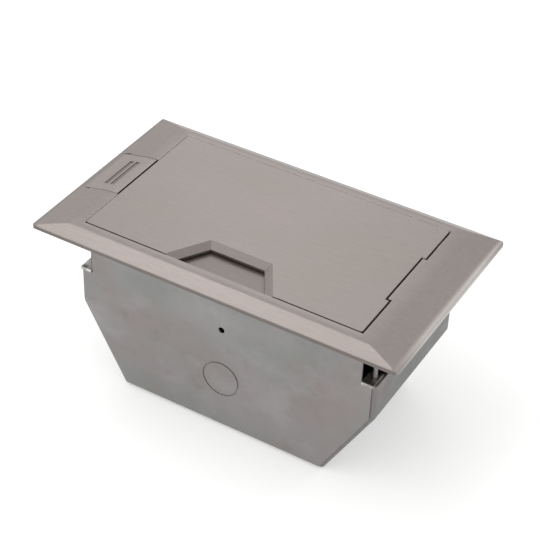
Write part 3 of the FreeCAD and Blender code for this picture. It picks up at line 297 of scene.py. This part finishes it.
softEdges = {
    "frame": 0.2, "lid": 0.3, "latch_slide": 0.22, "cable_flap": 0.2, "front_wall": 0.15, "back_wall": 0.15,
    "tray_shell": 0.15, "corner_lugs": 0.2, "collar": 0.15, "cradle_front": 0.15, "cradle_back": 0.15,
    "socket_plate_left": 0.15, "socket_plate_right": 0.15, "lid_ribs": 0.2, "lid_catch": 0.2,
    "hinge_brackets": 0.2, "flap_bracket": 0.15, "latch_bolt": 0.2, "power_socket_front": 0.35,
    "power_socket_back": 0.35, "data_socket_front": 0.35, "data_socket_back": 0.35, "lid_seal": 0.3,
    "levelling_nuts": 0.2, "earth_nut": 0.25, "earth_washer": 0.15, "cradle_rivets": 0.3,
    "collar_screws": 0.3, "power_terminals": 0.25, "earth_stud": 0.2, "jack_shells": 0.15,
}
sameSpot = 0.002 * mm
# in degrees: flatter than this is one face, sharper is rounded, and gentler is shaded smooth
turnOf = {"flat": 0.4, "sharp": 35, "smooth": 20, "smallSmooth": 40}


def softened(name, width):
    # a copy with its flat faces joined up again and its sharp edges rounded
    mesh = cadNodes[name].data.copy()
    mesh.name = name + "Soft"
    form = bmesh.new()
    form.from_mesh(mesh)
    bmesh.ops.remove_doubles(form, verts=form.verts, dist=sameSpot)
    bmesh.ops.dissolve_limit(form, angle_limit=math.radians(turnOf["flat"]), verts=form.verts,
                             edges=form.edges)
    form.to_mesh(mesh)
    form.free()
    piece = bpy.data.objects.new(name + "Soft", mesh)
    bpy.context.scene.collection.objects.link(piece)
    bevel = piece.modifiers.new("edge", "BEVEL")
    bevel.width = width * mm
    bevel.segments = 2
    bevel.limit_method = "ANGLE"
    bevel.angle_limit = math.radians(turnOf["sharp"])
    applyModifiers(piece)
    setSmooth(piece.data, turnOf["smooth"])
    weighted = piece.modifiers.new("normals", "WEIGHTED_NORMAL")
    weighted.keep_sharp = True
    weighted.weight = 100
    applyModifiers(piece)
    return piece


def applyModifiers(piece):
    graph = bpy.context.evaluated_depsgraph_get()
    result = bpy.data.meshes.new_from_object(piece.evaluated_get(graph), preserve_all_data_layers=True,
                                             depsgraph=graph)
    piece.modifiers.clear()
    result.name = piece.name
    piece.data = result


def setSmooth(mesh, degrees):
    form = bmesh.new()
    form.from_mesh(mesh)
    for face in form.faces:
        face.smooth = True
    limit = math.radians(degrees)
    for edge in form.edges:
        edge.smooth = len(edge.link_faces) == 2 and edge.calc_face_angle(0.0) < limit
    form.to_mesh(mesh)
    form.free()


def paint(piece, material):
    piece.data.materials.clear()
    piece.data.materials.append(material)


def finishPiece(piece, node):
    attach(piece, bodyOf[node])


for name, cadNode in cadNodes.items():
    if name in softEdges:
        piece = softened(name, softEdges[name])
        paint(piece, looks[slotOf[name]])
        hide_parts(name)
        finishPiece(piece, name)
    else:
        for slot in range(max(1, len(cadNode.material_slots))):
            if slot >= len(cadNode.data.materials):
                cadNode.data.materials.append(looks[slotOf[name]])
            cadNode.material_slots[slot].material = looks[slotOf[name]]
print("pieces finished:", len(softEdges), "softened")


# some faces of a softened piece wear a second material: a darker grey on the latch's groove floors, painted
# shade on the outlet band, the front rim and the lid's gap sides, and painted light on the frame's gap sides

grip = {"below": 0.3 * mm, "above": 3.2 * mm, "level": 0.999}
gapSidePaint = {"upright": 0.35, "eased": 0.86, "facing": 0.6, "slanted": 0.4, "deep": 1.9 * mm,
           "frameDeep": 4.5 * mm, "inset": 1.2 * mm, "hingeStep": 12 * mm, "outside": 2 * mm}
band = {"flattest": 0.97, "steepest": 0.3, "below": 0.4 * mm, "above": 2.8 * mm, "back": 0.3}
frontRim = {"facing": 0.8, "inset": 0.6 * mm}

lidLow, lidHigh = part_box("lid")
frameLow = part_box("frame")[0]
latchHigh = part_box("latch_slide")[1]


def repaint(name, material, chosen):
    mesh = bpy.data.objects[name + "Soft"].data
    mesh.materials.append(material)
    index = len(mesh.materials) - 1
    for face in mesh.polygons:
        if chosen(face.center, face.normal):
            face.material_index = index


def inGroove(spot, facing):
    return facing.z > grip["level"] and latchHigh.z - grip["above"] < spot.z < latchHigh.z - grip["below"]


def onLidSide(spot, facing):
    # the lid's side faces that show in the front and right-hand gaps, painted near black as painted shade for
    # the gaps
    right = facing.x > gapSidePaint["slanted"] and spot.x > lidHigh.x - gapSidePaint["hingeStep"]
    front = facing.y < -gapSidePaint["slanted"] and spot.y < lidLow.y + gapSidePaint["inset"]
    return abs(facing.z) < gapSidePaint["eased"] and spot.z > lidHigh.z - gapSidePaint["deep"] and (right or front)


def onBand(spot, facing):
    # the turned-down band round the cable outlet, painted a darker steel as painted shade
    sloping = band["steepest"] < facing.z < band["flattest"]
    return sloping and lidHigh.z - band["above"] < spot.z < lidHigh.z - band["below"]


# the band's back stretch, which faces the front, gets the deeper painted shade
def onBandBack(spot, facing):
    return onBand(spot, facing) and facing.y < -band["back"]


def onFrontRim(spot, facing):
    # the upright face under the front bevel, painted a darker steel as painted shade
    return facing.y < -frontRim["facing"] and spot.y < frameLow.y + frontRim["inset"]


def onFrameSide(spot, facing):
    # the frame's inner faces that show in the left-hand and back gaps, painted pale: painted light that lifts
    # the shade in those gaps
    left = facing.x > gapSidePaint["facing"] and spot.x < lidLow.x + gapSidePaint["inset"]
    back = facing.y < -gapSidePaint["facing"] and spot.y > lidHigh.y - gapSidePaint["inset"]
    beside = lidLow.x - gapSidePaint["outside"] < spot.x < lidHigh.x
    inside = beside and abs(spot.y) < lidHigh.y + gapSidePaint["outside"]
    shallow = abs(facing.z) < gapSidePaint["upright"] and spot.z > lidHigh.z - gapSidePaint["frameDeep"]
    return shallow and inside and (left or back)


bpy.data.objects["frameSoft"].data.materials[0] = frameSteel
bpy.data.objects["tray_shellSoft"].data.materials[0] = shellZinc
bpy.data.objects["latch_slideSoft"].data.materials[0] = latchSteel
# the up-facing groove floors of the latch are painted a darker grey
repaint("latch_slide", grooveGrey, inGroove)
# painted shade on the outlet band and the frame's front rim
repaint("lid", bandShadePaint, onBand)
repaint("lid", paintedShadeSteel, onBandBack)
repaint("frame", paintedShadeSteel, onFrontRim)
# painted shade on the lid's gap sides
repaint("lid", lidGapShadePaint, onLidSide)
# painted light on the frame's gap sides
repaint("frame", frameGapLightPaint, onFrameSide)


# geometry node helpers

def newTree(name, **inputs):
    tree = bpy.data.node_groups.new(name, "GeometryNodeTree")
    tree.interface.new_socket("Geometry", in_out="INPUT", socket_type="NodeSocketGeometry")
    tree.interface.new_socket("Geometry", in_out="OUTPUT", socket_type="NodeSocketGeometry")
    kinds = {float: "NodeSocketFloat", int: "NodeSocketInt"}
    for title, value in inputs.items():
        socket = tree.interface.new_socket(title, in_out="INPUT", socket_type=kinds[type(value)])
        socket.default_value = value
    return tree, addNode(tree, "NodeGroupInput").outputs


def endTree(tree, geometry, material):
    plain = addNode(tree, "GeometryNodeRealizeInstances", {"Geometry": geometry})
    finished = addNode(tree, "GeometryNodeSetMaterial", {"Geometry": plain.outputs[0], "Material": material})
    addNode(tree, "NodeGroupOutput", {"Geometry": finished.outputs[0]})


def growPiece(name, tree, spots, values):
    # one copy of what the tree makes at every spot, turned into a plain mesh
    mesh = bpy.data.meshes.new(name)
    mesh.from_pydata(spots, [], [])
    piece = bpy.data.objects.new(name, mesh)
    bpy.context.scene.collection.objects.link(piece)
    grower = piece.modifiers.new("grow", "NODES")
    grower.node_group = tree
    for item in tree.interface.items_tree:
        if item.item_type == "SOCKET" and item.in_out == "INPUT" and item.name in values:
            grower[item.identifier] = values[item.name]
    applyModifiers(piece)
    setSmooth(piece.data, turnOf["smallSmooth"])
    return piece


def islands(name):
    # the separate solids of a node, each as its list of corners
    form = bmesh.new()
    form.from_mesh(cadNodes[name].data)
    bmesh.ops.remove_doubles(form, verts=form.verts, dist=sameSpot)
    left, found = set(form.verts), []
    while left:
        queue, solid = [left.pop()], []
        while queue:
            corner = queue.pop()
            solid.append(corner.co.copy())
            for edge in corner.link_edges:
                other = edge.other_vert(corner)
                if other in left:
                    left.remove(other)
                    queue.append(other)
        found.append(solid)
    form.free()
    return sorted(found, key=lambda solid: tuple(round(value, 5) for value in middleOf(solid)))


def middleOf(solid):
    return Vector([(min(c[axis] for c in solid) + max(c[axis] for c in solid)) / 2 for axis in range(3)])


# threaded levelling studs

thread = {"Pitch": 0.5 * mm, "Ridge": 0.16 * mm, "Steps": 14}


def makeStuds():
    tree, given = newTree("threadedStud", Radius=1.5 * mm, Length=40.0 * mm, **thread)
    turns = addNode(tree, "ShaderNodeMath", {0: given["Length"], 1: given["Pitch"]}, operation="DIVIDE")
    inner = addNode(tree, "ShaderNodeMath", {0: given["Radius"], 1: given["Ridge"]}, operation="SUBTRACT")
    winding = addNode(tree, "GeometryNodeCurveSpiral",
                      {"Resolution": given["Steps"], "Rotations": turns.outputs[0], "Height": given["Length"],
                       "Start Radius": inner.outputs[0], "End Radius": inner.outputs[0]})
    section = addNode(tree, "GeometryNodeCurvePrimitiveCircle", {"Resolution": 4, "Radius": given["Ridge"]})
    ridge = addNode(tree, "GeometryNodeCurveToMesh",
                    {"Curve": winding.outputs[0], "Profile Curve": section.outputs[0], "Fill Caps": True})
    core = addNode(tree, "GeometryNodeMeshCylinder",
                   {"Vertices": 24, "Radius": inner.outputs[0], "Depth": given["Length"]})
    half = addNode(tree, "ShaderNodeMath", {0: given["Length"], 1: 0.5}, operation="MULTIPLY")
    lift = addNode(tree, "ShaderNodeCombineXYZ", {"Z": half.outputs[0]})
    raised = addNode(tree, "GeometryNodeTransform",
                     {"Geometry": core.outputs["Mesh"], "Translation": lift.outputs[0]})
    both = addNode(tree, "GeometryNodeJoinGeometry")
    tree.links.new(ridge.outputs[0], both.inputs[0])
    tree.links.new(raised.outputs[0], both.inputs[0])
    copies = addNode(tree, "GeometryNodeInstanceOnPoints",
                     {"Points": given["Geometry"], "Instance": both.outputs[0]})
    endTree(tree, copies.outputs[0], looks["zinc_steel"])
    solids = islands("levelling_studs")
    low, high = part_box("levelling_studs")
    radius = high.x - middleOf(solids[-1]).x
    spots = [(middleOf(solid).x, middleOf(solid).y, low.z + thread["Ridge"]) for solid in solids]
    length = high.z - low.z - 2 * thread["Ridge"]
    studs = growPiece("threadedStuds", tree, spots, {"Radius": radius, "Length": length, **thread})
    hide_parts("levelling_studs")
    finishPiece(studs, "levelling_studs")


# eight sprung contacts in each data jack

contact = {"Count": 8, "Spacing": 1.05 * mm, "Wide": 0.45 * mm, "Long": 7.5 * mm, "Thick": 0.35 * mm}
contactSeat = {"down": 3.0 * mm, "deep": 1.5 * mm, "leaning": 0.5}


def plateLean():
    # the slope of the right-hand socket plate, from its largest face that looks into the box
    faces = cadNodes["socket_plate_right"].data.polygons
    leaning = [face for face in faces if face.normal.x < -contactSeat["leaning"]]
    best = max(leaning, key=lambda face: face.area)
    return math.atan2(-best.normal.x, best.normal.z)


def makeContacts():
    tree, given = newTree("jackContacts", Lean=0.5, **contact)
    size = addNode(tree, "ShaderNodeCombineXYZ",
                   {"X": given["Thick"], "Y": given["Wide"], "Z": given["Long"]})
    strip = addNode(tree, "GeometryNodeMeshCube", {"Size": size.outputs[0]})
    step = addNode(tree, "ShaderNodeCombineXYZ", {"Y": given["Spacing"]})
    row = addNode(tree, "GeometryNodeMeshLine", {"Count": given["Count"], "Offset": step.outputs[0]},
                  mode="OFFSET")
    strips = addNode(tree, "GeometryNodeInstanceOnPoints",
                     {"Points": row.outputs[0], "Instance": strip.outputs["Mesh"]})
    fewer = addNode(tree, "ShaderNodeMath", {0: given["Count"], 1: 1.0}, operation="SUBTRACT")
    span = addNode(tree, "ShaderNodeMath", {0: fewer.outputs[0], 1: given["Spacing"]}, operation="MULTIPLY")
    back = addNode(tree, "ShaderNodeMath", {0: span.outputs[0], 1: -0.5}, operation="MULTIPLY")
    shift = addNode(tree, "ShaderNodeCombineXYZ", {"Y": back.outputs[0]})
    middled = addNode(tree, "GeometryNodeTransform",
                      {"Geometry": strips.outputs[0], "Translation": shift.outputs[0]})
    turned = addNode(tree, "ShaderNodeMath", {0: given["Lean"], 1: -1.0}, operation="MULTIPLY")
    tilt = addNode(tree, "ShaderNodeCombineXYZ", {"Y": turned.outputs[0]})
    copies = addNode(tree, "GeometryNodeInstanceOnPoints",
                     {"Points": given["Geometry"], "Instance": middled.outputs[0],
                      "Rotation": tilt.outputs[0]})
    endTree(tree, copies.outputs[0], contactGold)
    lean = plateLean()
    upSlope = Vector((math.cos(lean), 0, math.sin(lean)))
    outward = Vector((-math.sin(lean), 0, math.cos(lean)))
    spots = [middleOf(solid) - upSlope * contactSeat["down"] - outward * contactSeat["deep"]
             for solid in islands("jack_shells")]
    contacts = growPiece("jackContacts", tree, spots, {"Lean": lean, **contact})
    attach(contacts, "box")


# the lip that hangs from the outlet band, just clear of the flap, painted in the darker painted-shade steel

lip = {"inner": 0.06, "outer": 0.42, "flapGauge": 1.4 * mm, "clear": 0.6 * mm, "edge": 0.12 * mm,
       "reach": 50 * mm, "front": -25 * mm, "same": 0.05 * mm, "backDepth": 4 * mm}


def makeLip():
    # the corners under the band, an inner and an outer one at its front and at its back
    corners = [vertex.co.copy() for vertex in cadNodes["lid"].data.vertices
               if vertex.co.y < lip["front"] and 0 < vertex.co.x < lip["reach"]]
    level = min(corner.z for corner in corners)
    lowest = [corner for corner in corners if corner.z < level + lip["same"]]
    under = sorted(lowest, key=lambda corner: corner.x)
    front, back = min(corner.y for corner in under), max(corner.y for corner in under)
    atFront = [corner for corner in under if corner.y < front + lip["same"]]
    atBack = [corner for corner in under if corner.y > back - lip["backDepth"]]
    frontPair, backPair = (atFront[0], atFront[-1]), (atBack[0], atBack[-1])
    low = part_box("cable_flap")[0].z + lip["flapGauge"] + lip["clear"]
    stations = []
    for mirror, (near, far) in ((-1, frontPair), (-1, backPair), (1, backPair), (1, frontPair)):
        inner, outer = near.lerp(far, lip["inner"]), near.lerp(far, lip["outer"])
        stations += [(mirror * inner.x, inner.y, level), (mirror * outer.x, outer.y, level),
                     (mirror * outer.x, outer.y, low), (mirror * inner.x, inner.y, low)]
    faces = [(0, 1, 2, 3), (12, 15, 14, 13)]
    for start in (0, 4, 8):
        for side in range(4):
            first, second = start + side, start + (side + 1) % 4
            faces.append((first, first + 4, second + 4, second))
    mesh = bpy.data.meshes.new("outletLip")
    mesh.from_pydata(stations, [], faces)
    form = bmesh.new()
    form.from_mesh(mesh)
    bmesh.ops.recalc_face_normals(form, faces=form.faces)
    form.to_mesh(mesh)
    form.free()
    piece = bpy.data.objects.new("outletLip", mesh)
    bpy.context.scene.collection.objects.link(piece)
    bevel = piece.modifiers.new("edge", "BEVEL")
    bevel.width = lip["edge"]
    bevel.segments = 2
    applyModifiers(piece)
    setSmooth(piece.data, turnOf["smallSmooth"])
    paint(piece, paintedShadeSteel)
    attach(piece, "lid")


makeStuds()
makeContacts()
makeLip()
print("studs, contacts and lip made")


# studio: floor, lamps, camera

studio = {"floorSize": 6.0, "floorGap": 0.05 * mm, "floorColour": rgb(0.86, 0.86, 0.855),
          "floorGlow": 0.34, "world": 0.80, "lampAim": (0, 0, 0.06)}


def seenDirectly(tree):
    # 1 for camera, mirror and glass rays, 0 for the light that falls on the object
    rays = addNode(tree, "ShaderNodeLightPath")
    either = addNode(tree, "ShaderNodeMath",
                     {0: rays.outputs["Is Camera Ray"], 1: rays.outputs["Is Transmission Ray"]},
                     operation="MAXIMUM")
    anyOf = addNode(tree, "ShaderNodeMath", {0: either.outputs[0], 1: rays.outputs["Is Glossy Ray"]},
                    operation="MAXIMUM")
    return anyOf.outputs[0]


def makeFloor():
    low = cadBounds[0][2] - studio["floorGap"]
    half = studio["floorSize"] / 2
    mesh = bpy.data.meshes.new("studioFloor")
    mesh.from_pydata([(-half, -half, low), (half, -half, low), (half, half, low), (-half, half, low)], [],
                     [(0, 1, 2, 3)])
    floor = bpy.data.objects.new("studioFloor", mesh)
    bpy.context.scene.collection.objects.link(floor)
    material = bpy.data.materials.new("paleFloor")
    material.use_nodes = True
    tree = material.node_tree
    tree.nodes.clear()
    seen = seenDirectly(tree)
    matt = addNode(tree, "ShaderNodeBsdfDiffuse", {"Color": studio["floorColour"]})
    glowAmount = addNode(tree, "ShaderNodeMath", {0: seen, 1: studio["floorGlow"]}, operation="MULTIPLY")
    glow = addNode(tree, "ShaderNodeEmission", {"Color": rgb(1, 1, 1), "Strength": glowAmount.outputs[0]})
    both = addNode(tree, "ShaderNodeAddShader", {0: matt.outputs[0], 1: glow.outputs[0]})
    addNode(tree, "ShaderNodeOutputMaterial", {"Surface": both.outputs[0]})
    paint(floor, material)


def makeWorld():
    world = bpy.data.worlds.new("studioWorld")
    bpy.context.scene.world = world
    world.use_nodes = True
    tree = world.node_tree
    tree.nodes.clear()
    seen = seenDirectly(tree)
    strength = remap(tree, seen, 0.0, 1.0, studio["world"], 1.0)
    sky = addNode(tree, "ShaderNodeBackground", {"Color": rgb(1, 1, 1), "Strength": strength})
    addNode(tree, "ShaderNodeOutputWorld", {"Surface": sky.outputs[0]})


lamps = {
    "overhead": {"at": (-0.50, -0.20, 1.24), "size": (0.8, 0.8), "power": 2.9},
    "behind": {"at": (-1.10, 1.95, 1.86), "size": (0.8, 0.8), "power": 2.6},
    "frontLeft": {"at": (-0.9, -1.2, 0.70), "size": (0.9, 0.9), "power": 2.8},
    "rimKick": {"at": (0.74, 1.24, 0.68), "size": (0.3, 0.3), "power": 0.9},
}


def makeLamps():
    for name, lamp in lamps.items():
        light = bpy.data.lights.new(name, "AREA")
        light.shape = "RECTANGLE"
        light.size, light.size_y = lamp["size"]
        light.energy = lamp["power"]
        holder = bpy.data.objects.new(name, light)
        bpy.context.scene.collection.objects.link(holder)
        holder.location = lamp["at"]
        aim = Vector(studio["lampAim"]) - holder.location
        holder.rotation_euler = aim.to_track_quat("-Z", "Y").to_euler()


view = {"azimuth": 29.42, "elevation": 38.02, "roll": 2.30, "distance": 0.9276, "aside": 0.0012,
        "lift": -0.0198, "lens": 106.06}


def makeCamera():
    turn, tilt, roll = (math.radians(view[key]) for key in ("azimuth", "elevation", "roll"))
    back = Vector((math.sin(turn) * math.cos(tilt), -math.cos(turn) * math.cos(tilt), math.sin(tilt)))
    level = back.cross(Vector((0, 0, -1))).normalized()
    rise = level.cross(-back)
    right = level * math.cos(roll) + rise * math.sin(roll)
    up = rise * math.cos(roll) - level * math.sin(roll)
    aim = Vector((0, 0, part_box("frame")[0].z))
    spot = aim + back * view["distance"] + right * view["aside"] + up * view["lift"]
    camera = bpy.data.cameras.new("studioCamera")
    camera.lens = view["lens"]
    camera.sensor_width = 36.0
    holder = bpy.data.objects.new("studioCamera", camera)
    bpy.context.scene.collection.objects.link(holder)
    turned = Matrix((right, up, back)).transposed().to_4x4()
    turned.translation = spot
    holder.matrix_world = turned
    bpy.context.scene.camera = holder


makeFloor()
makeWorld()
makeLamps()
makeCamera()
bpy.context.scene.view_settings.view_transform = "Standard"
print("studio ready")
